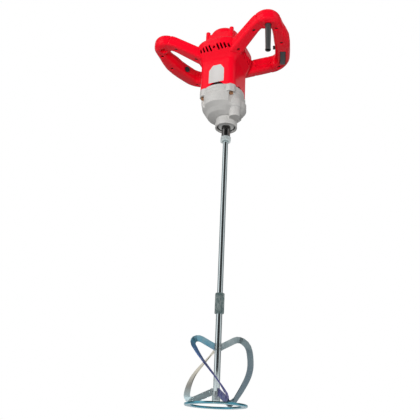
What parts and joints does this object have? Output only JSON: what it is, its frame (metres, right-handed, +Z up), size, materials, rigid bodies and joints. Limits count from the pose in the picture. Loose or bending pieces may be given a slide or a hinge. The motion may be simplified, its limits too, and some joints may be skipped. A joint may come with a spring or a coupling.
{
  "type": "mixing drill",
  "caption": "Two-handed electric mixing drill: moulded housing with closed loop handles, cast gear case, and a long rod with a paddle of twisted blades on a ring.",
  "frame": {"origin": "centre of the lower face of the gear case's round neck, on the spindle's axis", "axes": "+Z up the spindle towards the handles, -Y the front with the label, +X the handle with the trigger"},
  "size_m": [0.3192, 0.188, 0.865],
  "materials": {
    "red_shell": "satin moulded plastic",
    "casting": "sandy die casting",
    "copper_screw": "copper plated",
    "dark_screw": "blackened",
    "white_seal": "smooth",
    "bearing_steel": "ground",
    "black_plastic": "moulded",
    "grey_plastic": "moulded",
    "core_steel": "laminated",
    "bridge_metal": "cast",
    "brush_brass": "turned",
    "carbon": "pressed carbon",
    "black_oxide": "black oxide",
    "zinc": "zinc plated",
    "rod_zinc": "bright zinc plated",
    "blade_zinc": "blue passivated zinc",
    "sleeve_rubber": "soft"
  },
  "bodies": {
    "machine": {"gear_case": "casting", "gear_case_screw_front_left": "copper_screw", "gear_case_screw_front_right": "copper_screw", "gear_case_screw_rear_left": "copper_screw", "gear_case_screw_rear_right": "copper_screw", "dust_seal": "white_seal", "spindle_bearing": "bearing_steel", "fan_baffle": "black_plastic", "motor_housing": "red_shell", "stator_core": "core_steel", "brush_plate": "black_plastic", "brush_holder_left": "brush_brass", "brush_holder_right": "brush_brass", "carbon_brush_left": "carbon", "carbon_brush_right": "carbon", "bearing_bridge": "bridge_metal", "upper_bearing": "bearing_steel", "lower_bearing": "bearing_steel", "top_cover": "red_shell", "motor_cap": "red_shell", "cap_screw_front_left": "dark_screw", "cap_screw_front_right": "dark_screw", "cap_screw_rear_left": "dark_screw", "cap_screw_rear_right": "dark_screw", "handle_left_lower": "red_shell", "handle_left_upper": "red_shell", "handle_left_screws": "dark_screw", "handle_right_lower": "red_shell", "handle_right_upper": "red_shell", "handle_right_screws": "dark_screw", "cord_sleeve": "sleeve_rubber"},
    "mixing_spindle": {"spindle": "black_oxide", "lock_nut": "zinc", "upper_rod": "rod_zinc", "coupling": "zinc", "lower_rod": "rod_zinc", "hub_sleeve": "zinc", "bottom_ring": "blade_zinc", "blade_1": "blade_zinc", "blade_2": "blade_zinc", "blade_3": "blade_zinc"},
    "armature": {"motor_shaft": "bearing_steel", "armature_core": "core_steel", "commutator": "brush_brass", "cooling_fan": "black_plastic"},
    "trigger": {"trigger": "grey_plastic"},
    "lock_button": {"lock_button": "black_plastic"},
    "speed_dial": {"speed_dial": "black_plastic"}
  },
  "joints": [
    {"name": "spindle_spin", "type": "hinge", "parent": "machine", "child": "mixing_spindle", "pos_m": [0, 0, 0], "axis": [0, 0, 1], "continuous": true},
    {"name": "motor_spin", "type": "hinge", "parent": "machine", "child": "armature", "pos_m": [-0.008, -0.007, 0.126], "axis": [0, 0, 1], "continuous": true},
    {"name": "trigger_squeeze", "type": "hinge", "parent": "machine", "child": "trigger", "pos_m": [0.12632, 0.02934, 0.20416], "axis": [0.9507, 0.3102, 0], "range_deg": [0, 6], "stiffness_Nm_per_rad": 2, "springref_deg": -5.73},
    {"name": "lock_press", "type": "slide", "parent": "machine", "child": "lock_button", "axis": [0.9507, 0.3102, 0], "range_m": [0, 0.003], "stiffness_N_per_m": 600, "springref_m": -0.002},
    {"name": "dial_turn", "type": "hinge", "parent": "machine", "child": "speed_dial", "pos_m": [-0.12359, 0.02324, 0.20944], "axis": [-0.9507, 0.3102, 0], "range_deg": [-135, 135]}
  ],
  "couplings": [
    {"joint": "motor_spin", "follows": "spindle_spin", "ratio": 17.16}
  ]
}
